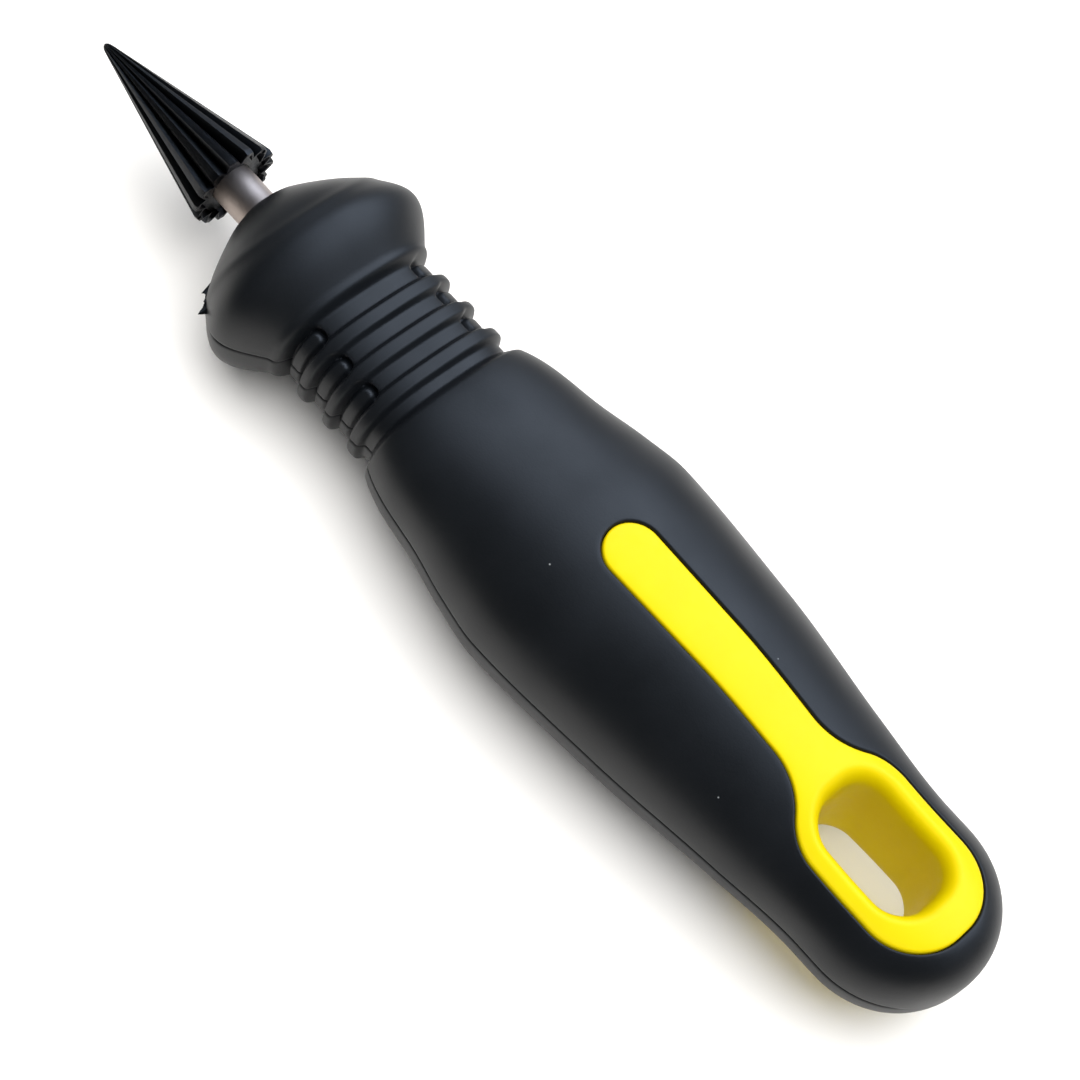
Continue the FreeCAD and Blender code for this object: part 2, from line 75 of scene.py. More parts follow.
# %% Places taken from the frame
MM = 0.001
grip_low, grip_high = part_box("soft_grip")
cone_low, cone_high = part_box("cutter_cone")
shank_low, shank_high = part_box("shank")
NOSE_X = grip_low.x
AXIS_Z = (shank_low.z + shank_high.z) / 2
HANDLE_LENGTH = (grip_high.x - grip_low.x) / MM
CONE_LENGTH = (cone_high.x - cone_low.x) / MM
SHANK_RADIUS = (shank_high.y - shank_low.y) / 2 / MM
SHANK_IN_HANDLE = (shank_high.x - NOSE_X) / MM
SHANK_IN_CONE = (cone_high.x - shank_low.x) / MM
SHANK_GAP = (NOSE_X - cone_high.x) / MM
# clearance of the rod in the cutter, at its ends, and in the handle
BORE_FIT, END_FIT, HANDLE_FIT = 0.02, 0.02, 0.03
print("handle %.1f mm, cone %.1f mm, shank radius %.2f mm" % (HANDLE_LENGTH, CONE_LENGTH, SHANK_RADIUS))


# %% Helpers for meshes
DOUBLES_MM = 0.0015        # points closer than this are one point


def to_frame(points):
    """Millimetres from the nose, on the tool's axis, become metres in the frame."""
    return np.asarray(points, float) * MM + (NOSE_X, 0.0, AXIS_Z)


def finish_mesh(name, mesh, sharp_degrees, merge_distance=0.0):
    """Faces outwards, smooth, with the edges that are really sharp kept sharp."""
    bm = bmesh.new()
    bm.from_mesh(mesh)
    if merge_distance:
        bmesh.ops.remove_doubles(bm, verts=bm.verts, dist=merge_distance)
        bmesh.ops.delete(bm, geom=[v for v in bm.verts if not v.link_faces], context="VERTS")
    bmesh.ops.recalc_face_normals(bm, faces=bm.faces)
    if bm.calc_volume(signed=True) < 0:
        bmesh.ops.reverse_faces(bm, faces=bm.faces)
    for edge in bm.edges:
        edge.smooth = edge.calc_face_angle(0.0) < math.radians(sharp_degrees)
    for face in bm.faces:
        face.smooth = True
    open_edges = sum(1 for edge in bm.edges if len(edge.link_faces) != 2)
    bm.to_mesh(mesh)
    bm.free()
    mesh.calc_loop_triangles()
    print("%s: %d triangles, %d open edges" % (name, len(mesh.loop_triangles), open_edges))


def solid_from(name, points, faces, material, sharp_degrees=50):
    """A closed mesh object from points in millimetres, with its doubles merged."""
    mesh = bpy.data.meshes.new(name)
    mesh.from_pydata(to_frame(points).tolist(), [], [list(map(int, face)) for face in faces])
    finish_mesh(name, mesh, sharp_degrees, DOUBLES_MM * MM)
    mesh.materials.append(material)
    piece = bpy.data.objects.new(name, mesh)
    bpy.context.scene.collection.objects.link(piece)
    return piece


def bands(rows):
    """Faces between rows of point numbers that each run round a closed loop."""
    faces = []
    for first, second in zip(rows, rows[1:]):
        for a, b, c, d in zip(first, np.roll(first, -1), np.roll(second, -1), second):
            faces.append((a, b, c, d))
    return faces


# %% [markdown]
# ## Materials
# Colours are written the way a paint chip or a web page gives them, as sRGB hex. The shader works in linear
# light, so one function converts them. A second function adds a node, sets it up and wires it in one call,
# which keeps each material short enough to read as a recipe.

# %% Helpers for materials
NOISE_LOW, NOISE_HIGH = 0.3, 0.7   # most values of a noise lie between these


def linear(code):
    """Hex sRGB, such as "#FFEE00", to the linear colour that the shader wants."""
    parts = [int(code[k:k + 2], 16) / 255 for k in (1, 3, 5)]
    return tuple(c / 12.92 if c <= 0.04045 else ((c + 0.055) / 1.055) ** 2.4 for c in parts) + (1.0,)


def add(tree, kind, inputs=(), **settings):
    """Add a node, give it its settings, and fill or link its inputs."""
    node = tree.nodes.new(kind)
    for key, value in settings.items():
        setattr(node, key, value)
    for key, value in dict(inputs).items():
        if isinstance(value, bpy.types.NodeSocket):
            tree.links.new(value, node.inputs[key])
        else:
            node.inputs[key].default_value = value
    return node


def new_material(name, **shader_values):
    """A material with one Principled shader, and its object coordinates in millimetres."""
    material = bpy.data.materials.new(name)
    material.use_nodes = True
    tree = material.node_tree
    shader = tree.nodes["Principled BSDF"]
    for key, value in shader_values.items():
        shader.inputs[key.replace("_", " ").title().replace("Ior", "IOR")].default_value = value
    place = add(tree, "ShaderNodeTexCoord")
    in_mm = add(tree, "ShaderNodeVectorMath", {0: place.outputs["Object"], "Scale": 1 / MM},
                operation="SCALE")
    return material, tree, shader, in_mm.outputs["Vector"]


# %% [markdown]
# ### Soft black rubber
# The skin is a thermoplastic rubber (TPR), moulded against a spark-eroded tool, so it is matte with a very
# fine, even grain. It is not quite black: where light falls on it at a slant it turns slate grey. Handling
# leaves a little lint and dust, which clings to rubber and shows as tiny pale specks.

# %% Soft black rubber
GRAIN_MM = 0.22            # the eroded grain is finer; this is as fine as shows in a picture
MOTTLE_MM = 9.0
SPECK_SPACING_MM = 3.4
SPECK_RADIUS_MM = 0.11
BARE_SHARE = 0.6           # share of the places that hold no speck


def make_rubber():
    material, tree, shader, mm = new_material("tpr_rubber_spark_eroded", roughness=0.46, ior=1.42)
    mottle = add(tree, "ShaderNodeTexNoise", {"Vector": mm, "Scale": 1 / MOTTLE_MM, "Detail": 3.0})
    tone = add(tree, "ShaderNodeMix", {
        0: mottle.outputs["Fac"], 6: linear("#080A0D"), 7: linear("#0D1014")}, data_type="RGBA")
    cells = add(tree, "ShaderNodeTexVoronoi", {"Vector": mm, "Scale": 1 / SPECK_SPACING_MM})
    speck_edge = SPECK_RADIUS_MM / SPECK_SPACING_MM
    speck_core = 0.3 * SPECK_RADIUS_MM / SPECK_SPACING_MM
    speck = add(tree, "ShaderNodeMapRange", {
        0: cells.outputs["Distance"], 1: speck_edge, 2: speck_core, 3: 0.0, 4: 1.0})
    chance = add(tree, "ShaderNodeSeparateColor", {0: cells.outputs["Color"]})
    few = add(tree, "ShaderNodeMath", {0: chance.outputs[0], 1: BARE_SHARE}, operation="GREATER_THAN")
    dust = add(tree, "ShaderNodeMath", {0: speck.outputs[0], 1: few.outputs[0]}, operation="MULTIPLY")
    colour = add(tree, "ShaderNodeMix", {0: dust.outputs[0], 6: tone.outputs[2], 7: linear("#8C9296")},
                 data_type="RGBA")
    tree.links.new(colour.outputs[2], shader.inputs["Base Color"])
    grain = add(tree, "ShaderNodeTexNoise", {"Vector": mm, "Scale": 1 / GRAIN_MM, "Detail": 2.0})
    rough = add(tree, "ShaderNodeMapRange", {
        0: mottle.outputs["Fac"], 1: NOISE_LOW, 2: NOISE_HIGH, 3: 0.42, 4: 0.52})
    tree.links.new(rough.outputs[0], shader.inputs["Roughness"])
    bump = add(tree, "ShaderNodeBump", {
        "Height": grain.outputs["Fac"], "Strength": 0.35, "Distance": 0.02 * MM})
    tree.links.new(bump.outputs[0], shader.inputs["Normal"])
    return material


rubber = make_rubber()

# %% [markdown]
# ### Yellow core plastic
# The core is moulded polypropylene, coloured right through, with a satin face. Light goes a little way
# into it and comes out again, so its shaded walls stay warm rather than grey. A faint long ripple is left
# by the plastic as it flows and shrinks in the mould.

# %% Yellow core plastic
RIPPLE_MM = 6.0
SKIN_MM = 0.5


def make_yellow():
    material, tree, shader, mm = new_material(
        "polypropylene_moulded_yellow", roughness=0.42, ior=1.49, specular_ior_level=0.14,
        subsurface_weight=0.05, subsurface_scale=1.2 * MM, subsurface_radius=(1.0, 0.8, 0.1))
    ripple = add(tree, "ShaderNodeTexNoise", {"Vector": mm, "Scale": 1 / RIPPLE_MM, "Detail": 2.0})
    tone = add(tree, "ShaderNodeMix", {
        0: ripple.outputs["Fac"], 6: linear("#CFB900"), 7: linear("#D7C500")}, data_type="RGBA")
    tree.links.new(tone.outputs[2], shader.inputs["Base Color"])
    skin = add(tree, "ShaderNodeTexNoise", {"Vector": mm, "Scale": 1 / SKIN_MM, "Detail": 2.0})
    rough = add(tree, "ShaderNodeMapRange", {
        0: skin.outputs["Fac"], 1: NOISE_LOW, 2: NOISE_HIGH, 3: 0.38, 4: 0.48})
    tree.links.new(rough.outputs[0], shader.inputs["Roughness"])
    bump = add(tree, "ShaderNodeBump", {
        "Height": skin.outputs["Fac"], "Strength": 0.2, "Distance": 0.01 * MM})
    tree.links.new(bump.outputs[0], shader.inputs["Normal"])
    return material


yellow = make_yellow()

# %% [markdown]
# ### Black-oxide tool steel
# The cutter is hardened tool steel with a black oxide finish: a thin, slightly blue-black film that keeps
# the metal's own sheen. The colour is darkened down in the flutes as painted shade, and lighter on the lands,
# where grinding marks run along the cone. The cone mesh carries the depth of its flutes as an attribute.

# %% Black-oxide tool steel
GRIND_MM = 0.18
CLOUD_MM = 2.0


def make_black_oxide():
    material, tree, shader, mm = new_material("tool_steel_black_oxide", roughness=0.42, metallic=1.0)
    depth = add(tree, "ShaderNodeAttribute", attribute_name="flute")
    cloud = add(tree, "ShaderNodeTexNoise", {"Vector": mm, "Scale": 1 / CLOUD_MM, "Detail": 4.0})
    land = add(tree, "ShaderNodeMix", {
        0: cloud.outputs["Fac"], 6: linear("#2B3036"), 7: linear("#393735")}, data_type="RGBA")
    # painted shade: the colour turns darker down in the flutes, where the flute attribute marks a groove
    colour = add(tree, "ShaderNodeMix", {
        0: depth.outputs["Fac"], 6: land.outputs[2], 7: linear("#15181C")}, data_type="RGBA")
    tree.links.new(colour.outputs[2], shader.inputs["Base Color"])
    long_grain = add(tree, "ShaderNodeMapping", {"Vector": mm, "Scale": (0.15, 1.0, 1.0)})
    marks = add(tree, "ShaderNodeTexNoise", {
        "Vector": long_grain.outputs[0], "Scale": 1 / GRIND_MM, "Detail": 3.0})
    rough = add(tree, "ShaderNodeMapRange", {
        0: marks.outputs["Fac"], 1: NOISE_LOW, 2: NOISE_HIGH, 3: 0.34, 4: 0.52})
    tree.links.new(rough.outputs[0], shader.inputs["Roughness"])
    bump = add(tree, "ShaderNodeBump", {
        "Height": marks.outputs["Fac"], "Strength": 0.4, "Distance": 0.02 * MM})
    tree.links.new(bump.outputs[0], shader.inputs["Normal"])
    return material


black_oxide = make_black_oxide()

# %% [markdown]
# ### Bright ground rod
# The shank is drawn steel rod, ground round, so fine rings run round it. It has yellowed a little in the
# heat of hardening, which gives it a warm brown-grey tone.

# %% Bright ground rod
RING_MM = 0.12
STAIN_MM = 5 / 3


def make_ground_steel():
    material, tree, shader, mm = new_material("drawn_steel_ground", roughness=0.56, metallic=1.0)
    across = add(tree, "ShaderNodeMapping", {"Vector": mm, "Scale": (1.0, 0.05, 0.05)})
    rings = add(tree, "ShaderNodeTexNoise", {
        "Vector": across.outputs[0], "Scale": 1 / RING_MM, "Detail": 2.0})
    stain = add(tree, "ShaderNodeTexNoise", {"Vector": mm, "Scale": 1 / STAIN_MM, "Detail": 2.0})
    tone = add(tree, "ShaderNodeMix", {
        0: stain.outputs["Fac"], 6: linear("#A3978F"), 7: linear("#BDB1AA")}, data_type="RGBA")
    tree.links.new(tone.outputs[2], shader.inputs["Base Color"])
    bump = add(tree, "ShaderNodeBump", {
        "Height": rings.outputs["Fac"], "Strength": 0.5, "Distance": 0.015 * MM})
    tree.links.new(bump.outputs[0], shader.inputs["Normal"])
    return material


ground_steel = make_ground_steel()
print("materials:", [m.name for m in (rubber, yellow, black_oxide, ground_steel)])

# %% [markdown]
# ## The cutter: Geometry Nodes
# A taper cutter is one rule repeated: a turned cone with the same straight flute ground into it again and
# again. It could be cut with booleans, one per flute, but the result shades badly. Instead the tree bends a
# flat grid: one direction follows the turned profile, the other goes round the axis, and each point is
# drawn in towards the axis when it falls in a flute. Flute count and depth stay ordinary inputs.

# %% The cutter's rule as a node tree
FLUTES = 14
RIM_RADIUS = 5.15
FLUTE_DEPTH = 0.95
GROOVE_SHARE = 0.62        # how much of each pitch is groove rather than land
ROWS = 101                 # the profile below turns its corners at whole hundredths
COLUMNS_PER_FLUTE = 16
UNEVENNESS = 0.18          # how much the depth of a flute may differ, as a share
RAGGED_MM = 0.9            # how far an uneven tooth may run out at the rim
PITCH_NUDGE = 0.0005       # keeps round-off from putting a border column in the wrong tooth
WELD_MM = 0.002
CUTTER_SHARP_DEGREES = 32
# shares of the way along the profile between which a flute begins, deepens and ends, and the rim begins
FLUTE_BEGINS, FLUTE_DEEPENS, FLUTE_ENDS, RIM_BEGINS = (0.03, 0.08), (0.07, 0.86), (0.89, 0.92), (0.82, 0.88)
FIRST_DEPTH = 0.12         # depth of a flute where it starts to deepen, as a share of the full depth
MATH, RANGE = "ShaderNodeMath", "ShaderNodeMapRange"

bore_radius = (SHANK_RADIUS + BORE_FIT) / RIM_RADIUS
bore_end = 1 - SHANK_IN_CONE / CONE_LENGTH
# share of the way along the profile: (place along the cone, radius), as shares of length and rim radius
PROFILE = {
    0.00: (0.0, 0.0), 0.02: (0.004, 0.045), 0.04: (0.014, 0.078), 0.06: (0.032, 0.105),
    0.84: (0.965, 1.0), 0.87: (0.985, 0.985), 0.89: (0.985, 0.90), 0.91: (0.955, 0.80),
    0.93: (0.955, 0.62), 0.95: (0.965, bore_radius), 0.98: (bore_end, bore_radius), 1.00: (bore_end, 0.0),
}


def cutter_tree():
    tree = bpy.data.node_groups.new("fluted_cone", "GeometryNodeTree")
    tree.interface.new_socket("Geometry", in_out="OUTPUT", socket_type="NodeSocketGeometry")
    sizes = {
        "Tip": "Vector", "Length": "Float", "Rim Radius": "Float", "Flute Depth": "Float",
        "Groove Share": "Float", "Unevenness": "Float", "Flutes": "Int", "Rows": "Int",
        "Columns per Flute": "Int", "Material": "Material"}
    for name, kind in sizes.items():
        tree.interface.new_socket(name, in_out="INPUT", socket_type="NodeSocket" + kind)
    given = add(tree, "NodeGroupInput").outputs

    def result(kind, *values, **settings):
        """The first output of a new node, whose inputs are given in their order."""
        return add(tree, kind, dict(enumerate(values)), **settings).outputs[0]

    round_steps = result(MATH, given["Flutes"], given["Columns per Flute"], operation="MULTIPLY")
    round_points = result(MATH, round_steps, 1.0, operation="ADD")
    grid = add(tree, "GeometryNodeMeshGrid", {"Vertices X": given["Rows"], "Vertices Y": round_points})
    flat = add(tree, "ShaderNodeSeparateXYZ", {0: result("GeometryNodeInputPosition")})
    along = result(MATH, flat.outputs[0], 0.5, operation="ADD")
    around = result(MATH, flat.outputs[1], 0.5, operation="ADD")

    shape = []
    for column in (0, 1):
        curve = add(tree, "ShaderNodeFloatCurve", {"Value": along})
        points = curve.mapping.curves[0].points
        places = sorted(PROFILE)
        while len(points) < len(places):
            points.new(0.5, 0.5)
        for point, place in zip(points, places):
            point.location = (place, PROFILE[place][column])
            point.handle_type = "VECTOR"
        curve.mapping.update()
        shape.append(curve.outputs[0])
    reach, radius_share = shape

    # each flute is a V across its share of the pitch, and each tooth differs a little from the next
    pitch = result(MATH, around, given["Flutes"], operation="MULTIPLY")
    rounded = result(MATH, pitch, PITCH_NUDGE, operation="ADD")
    phase = result(MATH, rounded, operation="FRACT")
    count = result(MATH, rounded, operation="FLOOR")
    tooth = result(MATH, count, given["Flutes"], operation="MODULO")
    doubled = result(MATH, phase, 2.0, operation="MULTIPLY")
    aside = result(MATH, doubled, 1.0, operation="SUBTRACT")
    distance = result(MATH, aside, operation="ABSOLUTE")
    peak = result(MATH, 1.0, distance, operation="SUBTRACT")
    land_share = result(MATH, 1.0, given["Groove Share"], operation="SUBTRACT")
    groove = result(RANGE, peak, land_share, 1.0, 0.0, 1.0)
    fade_in = result(RANGE, along, *FLUTE_DEEPENS, FIRST_DEPTH, 1.0)
    start = result(RANGE, along, *FLUTE_BEGINS, 0.0, 1.0)
    stop = result(RANGE, along, *FLUTE_ENDS, 1.0, 0.0)
    faded = result(MATH, groove, fade_in, operation="MULTIPLY")
    between = result(MATH, start, stop, operation="MULTIPLY")
    cut = result(MATH, faded, between, operation="MULTIPLY")
    luck = add(tree, "FunctionNodeRandomValue", {"Min": -1.0, "Max": 1.0, "ID": tooth, "Seed": 5},
               data_type="FLOAT").outputs["Value"]
    uneven = result(MATH, luck, given["Unevenness"], operation="MULTIPLY")
    own_share = result(MATH, 1.0, uneven, operation="ADD")
    own_depth = result(MATH, given["Flute Depth"], own_share, operation="MULTIPLY")
    depth = result(MATH, cut, own_depth, operation="MULTIPLY")
    turned = result(MATH, radius_share, given["Rim Radius"], operation="MULTIPLY")
    radius = result(MATH, turned, depth, operation="SUBTRACT")

    # the teeth end unevenly at the rim, where the grinding wheel ran out
    rim = result(RANGE, along, *RIM_BEGINS, 0.0, 1.0)
    at_rim = result(MATH, rim, stop, operation="MULTIPLY")
    run_out = result(MATH, uneven, RAGGED_MM * MM, operation="MULTIPLY")
    ragged = result(MATH, at_rim, run_out, operation="MULTIPLY")
    reached = result(MATH, reach, given["Length"], operation="MULTIPLY")
    x = result(MATH, reached, ragged, operation="ADD")
    turn = result(MATH, around, 2 * math.pi, operation="MULTIPLY")
    y = result(MATH, radius, result(MATH, turn, operation="COSINE"), operation="MULTIPLY")
    z = result(MATH, radius, result(MATH, turn, operation="SINE"), operation="MULTIPLY")
    bent = result("ShaderNodeCombineXYZ", x, y, z)
    place = result("ShaderNodeVectorMath", bent, given["Tip"], operation="ADD")
    kept = add(tree, "GeometryNodeStoreNamedAttribute",
               {"Geometry": grid.outputs["Mesh"], "Name": "flute", "Value": cut},
               data_type="FLOAT", domain="POINT")
    moved = add(tree, "GeometryNodeSetPosition", {"Geometry": kept.outputs[0], "Position": place})
    closed = add(tree, "GeometryNodeMergeByDistance", {
        "Geometry": moved.outputs[0], "Distance": WELD_MM * MM})
    real = add(tree, "GeometryNodeRealizeInstances", {"Geometry": closed.outputs[0]})
    finish = add(tree, "GeometryNodeSetMaterial", {
        "Geometry": real.outputs[0], "Material": given["Material"]})
    add(tree, "NodeGroupOutput", {"Geometry": finish.outputs[0]})
    return tree


# %% [markdown]
# The modifier's inputs are set by their identifiers before the object is first evaluated. Then the result
# is turned into a plain mesh, so that the piece can be exported like any other.

# %% Make the cutter
def plain_mesh_from(tree, name, values):
    """Run a node tree once and return its result as an ordinary object."""
    holder = bpy.data.objects.new(name + "_holder", bpy.data.meshes.new(name + "_holder"))
    bpy.context.scene.collection.objects.link(holder)
    modifier = holder.modifiers.new("shape", "NODES")
    modifier.node_group = tree
    for item in tree.interface.items_tree:
        if item.in_out == "INPUT":
            modifier[item.identifier] = values[item.name]
    evaluated = holder.evaluated_get(bpy.context.evaluated_depsgraph_get())
    mesh = bpy.data.meshes.new_from_object(evaluated)
    holder.modifiers.remove(modifier)
    bpy.data.objects.remove(holder)
    piece = bpy.data.objects.new(name, mesh)
    bpy.context.scene.collection.objects.link(piece)
    return piece


cutter = plain_mesh_from(cutter_tree(), "fluted_cone", {
    "Tip": (cone_low.x, 0.0, AXIS_Z), "Length": CONE_LENGTH * MM, "Rim Radius": RIM_RADIUS * MM,
    "Flute Depth": FLUTE_DEPTH * MM, "Groove Share": GROOVE_SHARE, "Unevenness": UNEVENNESS, "Flutes": FLUTES,
    "Rows": ROWS, "Columns per Flute": COLUMNS_PER_FLUTE, "Material": black_oxide})
finish_mesh("fluted_cone", cutter.data, CUTTER_SHARP_DEGREES)
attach(cutter, "root")
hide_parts("cutter_cone")

# %% [markdown]
# ## The shank
# The rod is plain turned work, so a profile is spun round the axis. Both ends have a small chamfer and sit
# in bores, one in the cutter and one in the handle, and only a few millimetres show between them.

# %% Make the shank
SHANK_SIDES = 96
SHANK_CHAMFER = 0.5
SHANK_STEPS = 40


def spun(name, profile, sides, material):
    """Spin a profile of (x, radius) points round the tool's axis."""
    turns = np.linspace(0, 2 * math.pi, sides, endpoint=False)
    points = [(x, r * math.cos(t), r * math.sin(t)) for x, r in profile for t in turns]
    rows = np.arange(len(points)).reshape(len(profile), sides)
    return solid_from(name, points, bands(rows), material)


rod_start = -SHANK_GAP - SHANK_IN_CONE + END_FIT
rod_end = SHANK_IN_HANDLE - END_FIT
chamfer_radius = SHANK_RADIUS - SHANK_CHAMFER
rod_profile = [(rod_start, 0.0), (rod_start, chamfer_radius)]
for step_x in np.linspace(rod_start + SHANK_CHAMFER, rod_end - SHANK_CHAMFER, SHANK_STEPS):
    rod_profile.append((step_x, SHANK_RADIUS))
rod_profile += [(rod_end, chamfer_radius), (rod_end, 0.0)]
shank = spun("shank_rod", rod_profile, SHANK_SIDES, ground_steel)
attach(shank, "root")
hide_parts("shank")

# %% [markdown]
# ## The handle's form
# The whole handle is one flowing form. Every cross-section is a superellipse, somewhere between an ellipse
# and a rounded box, and three curves give its width, height and squareness along the tool. Both the black
# and the yellow pieces read their surface from this one rule, so they always meet flush.

# %% Stations along the handle
# distance from the nose, width, height, squareness (2 is an ellipse, more is boxier), in millimetres
STATIONS = {
    "nose": (0.0, 6.4, 6.2, 2.0),
    "brow": (0.8, 10.2, 9.6, 2.0),
    "ridge": (5.3, 23.2, 16.6, 2.2),
    "guard": (8.6, 26.6, 18.8, 2.3),
    "lip": (13.6, 20.4, 12.8, 2.6),
    "neck": (14.9, 17.8, 10.2, 2.8),
    "neck_end": (27.3, 17.8, 10.2, 2.8),
    "shoulder": (28.4, 20.8, 12.2, 2.7),
    "swell": (38.5, 25.5, 15.7, 2.4),
    "chest": (43.5, 27.8, 17.4, 2.3),
    "belly": (48.5, 29.2, 18.8, 2.25),
    "loin": (64.5, 27.0, 18.8, 2.2),
    "waist": (79.0, 23.3, 15.8, 2.2),
    "ring": (90.0, 21.0, 13.8, 2.35),
    "tail": (HANDLE_LENGTH, 21.0, 13.8, 2.35),
}
TAIL_ROUND = 10.5
TAIL_FULLNESS = 2.8        # how full the tail stays, seen from the side
POINT_MM = 0.01            # a half width below this is the tip of the tail, which nothing raises


def smooth_curve(xs, ys):
    """A curve through the points that never overshoots them (monotone cubic)."""
    xs, ys = np.asarray(xs, float), np.asarray(ys, float)
    steps = np.diff(xs)
    slopes = np.diff(ys) / steps
    before, after = slopes[:-1], slopes[1:]
    weight_a, weight_b = 2 * steps[1:] + steps[:-1], steps[1:] + 2 * steps[:-1]
    with np.errstate(divide="ignore", invalid="ignore"):
        both = weight_a / before + weight_b / after
        inner = np.where(before * after > 0, (weight_a + weight_b) / both, 0.0)
    tangents = np.concatenate(([slopes[0]], inner, [0.0]))

    def value(x):
        k = np.clip(np.searchsorted(xs, x, side="right") - 1, 0, len(steps) - 1)
        u = (x - xs[k]) / steps[k]
        ends = ys[k] * (1 + 2 * u) * (1 - u) ** 2 + ys[k + 1] * u * u * (3 - 2 * u)
        return ends + steps[k] * (tangents[k] * u * (1 - u) ** 2 - tangents[k + 1] * u * u * (1 - u))
    return value


places, widths, heights, squares = (list(column) for column in zip(*STATIONS.values()))
width_at, height_at, square_at = (smooth_curve(places, ys) for ys in (widths, heights, squares))


def section_at(x):
    """Half width, half height and squareness of the handle at x, with its rounded tail."""
    t = np.clip((x - HANDLE_LENGTH) / TAIL_ROUND + 1, 0, 1)
    keep_width = np.sqrt(1 - t ** 2)
    keep_height = (1 - t ** TAIL_FULLNESS) ** (1 / TAIL_FULLNESS)
    return width_at(x) / 2 * keep_width, height_at(x) / 2 * keep_height, square_at(x)


def skin_point(x, turn, rise=0.0):
    """The point of the handle's surface at a distance from the nose and an angle round the axis."""
    half_width, half_height, square = section_at(x)
    c, d = np.cos(turn), np.sin(turn)
    bulge = (np.abs(c) ** square + np.abs(d) ** square) ** (-1 / square)
    rise = np.where(half_width > POINT_MM, rise, 0.0)
    y = (half_width + rise) * bulge * c
    z = (half_height + rise) * bulge * d
    return np.stack([x + 0 * turn, y, z], axis=-1)


def top_height(x, y):
    """How high the handle's upper face is over the plan point (x, y)."""
    half_width, half_height, square = section_at(x)
    share = np.clip(np.abs(y) / np.maximum(half_width, 1e-6), 0, 1)
    return half_height * (1 - share ** square) ** (1 / square)


belly_x = STATIONS["belly"][0]
print("belly %.1f mm wide, %.1f mm high" % (width_at(belly_x), height_at(belly_x)))

# %% [markdown]
# ## The inlay's outline
# Seen from above, the yellow core shows as a strip with a round start that runs into a ring round the
# hanging slot. The outline is only arcs and straight lines, as a toolmaker would draw it. The blend from
# strip to ring is one arc that touches both.

# %% Draw the outline
SLOT_X, SLOT_LENGTH, SLOT_WIDTH, SLOT_CORNER = 88.4, 13.2, 8.5, 3.6
RING_WALL, RING_END_WALL = 2.6, 4.1
STRIP_START_X, STRIP_START_HALF, STRIP_END_HALF = 49.6, 3.1, 2.6
STRIP_BLEND = 8.0
STRIP_SPREAD = 0.1         # how much wider the strip is where the blend starts
LOOP_STEP = 0.36           # spacing of the points round an outline


def arc(centre, radius, start_degrees, end_degrees, count=32):
    turns = np.radians(np.linspace(start_degrees, end_degrees, count))
    return [(centre[0] + radius * math.cos(t), centre[1] + radius * math.sin(t)) for t in turns]


def evenly_round(half):
    """Close an upper half outline with its mirror image, and space its points evenly."""
    half = np.array(half)
    loop = np.concatenate([half, half[::-1] * (1, -1)])
    loop = loop[np.linalg.norm(np.roll(loop, -1, axis=0) - loop, axis=1) > 1e-6]
    closed = np.concatenate([loop, loop[:1]])
    length = np.concatenate([[0], np.cumsum(np.linalg.norm(np.diff(closed, axis=0), axis=1))])
    at = np.linspace(0, length[-1], round(length[-1] / LOOP_STEP), endpoint=False)
    return np.stack([np.interp(at, length, closed[:, k]) for k in (0, 1)], axis=1)


def inlay_half():
    corner = SLOT_CORNER + RING_WALL
    ring_y = SLOT_WIDTH / 2 - SLOT_CORNER
    ring_start = (SLOT_X - SLOT_LENGTH / 2 - RING_WALL + corner, ring_y)
    ring_end = (SLOT_X + SLOT_LENGTH / 2 + RING_END_WALL - corner, ring_y)
    blend_y = STRIP_END_HALF + STRIP_SPREAD + STRIP_BLEND
    blend_x = ring_start[0] - math.sqrt((corner + STRIP_BLEND) ** 2 - (blend_y - ring_y) ** 2)
    to_ring = math.degrees(math.atan2(ring_y - blend_y, ring_start[0] - blend_x))
    half = arc((STRIP_START_X + STRIP_START_HALF, 0), STRIP_START_HALF, 180, 90)
    half += arc((blend_x, blend_y), STRIP_BLEND, -90, to_ring)
    half += arc(ring_start, corner, to_ring + 180, 90)
    half += arc(ring_end, corner, 90, 0)
    return half


def slot_half():
    x, y = SLOT_LENGTH / 2 - SLOT_CORNER, SLOT_WIDTH / 2 - SLOT_CORNER
    return arc((SLOT_X - x, y), SLOT_CORNER, 180, 90) + arc((SLOT_X + x, y), SLOT_CORNER, 90, 0)


def grown(loop, distance):
    """The outline moved outwards. It runs clockwise, so outwards is to the left of its way."""
    way = np.roll(loop, -1, axis=0) - np.roll(loop, 1, axis=0)
    way /= np.linalg.norm(way, axis=1)[:, None]
    return loop + distance * np.stack([-way[:, 1], way[:, 0]], axis=1)


def inside(points, loop):
    """Which plan points lie inside a closed outline."""
    x, y = points[:, 0, None], points[:, 1, None]
    x1, y1 = loop[:, 0], loop[:, 1]
    x2, y2 = np.roll(x1, -1), np.roll(y1, -1)
    crosses = (y1 > y) != (y2 > y)
    with np.errstate(divide="ignore", invalid="ignore"):
        hits = crosses & (x < (x2 - x1) * (y - y1) / (y2 - y1) + x1)
    return hits.sum(axis=1) % 2 == 1


inlay_loop = evenly_round(inlay_half())
slot_loop = evenly_round(slot_half())
print("inlay outline %d points, slot %d points" % (len(inlay_loop), len(slot_loop)))

# %% [markdown]
# Between two outlines the surface is filled with a Delaunay triangulation in plan, and every point is then
# lifted to the handle's form. It keeps the outlines exactly, which a grid cut by a boolean would not.

